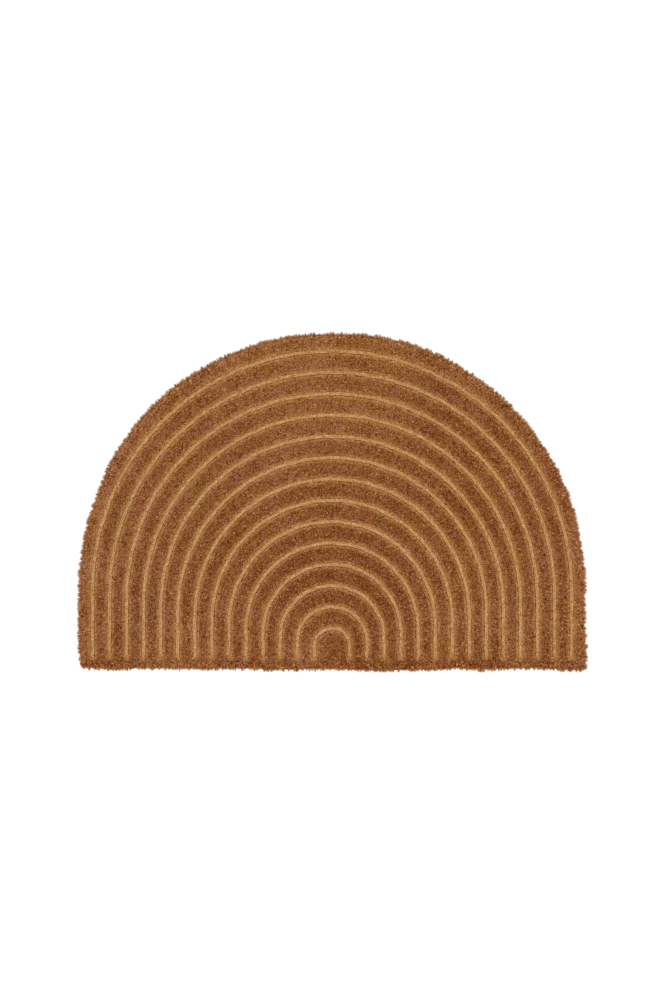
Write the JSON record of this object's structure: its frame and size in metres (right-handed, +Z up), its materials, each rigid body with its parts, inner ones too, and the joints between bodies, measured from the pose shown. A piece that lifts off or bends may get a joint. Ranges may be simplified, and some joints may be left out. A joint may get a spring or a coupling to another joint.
{
  "type": "doormat",
  "caption": "Half-round coir doormat with one straight edge and nested arches pressed into its cut pile.",
  "frame": {"origin": "middle of the mat's box, on the floor that the mat lies on", "axes": "+X along the straight edge, +Y from the straight edge to the top of the arch, +Z up out of the pile"},
  "size_m": [0.7505, 0.5, 0.015],
  "materials": {
    "coir_pile": "cut coir pile, matt, with smoother pressed grooves"
  },
  "bodies": {
    "root": {"mat": "coir_pile"}
  },
  "joints": []
}
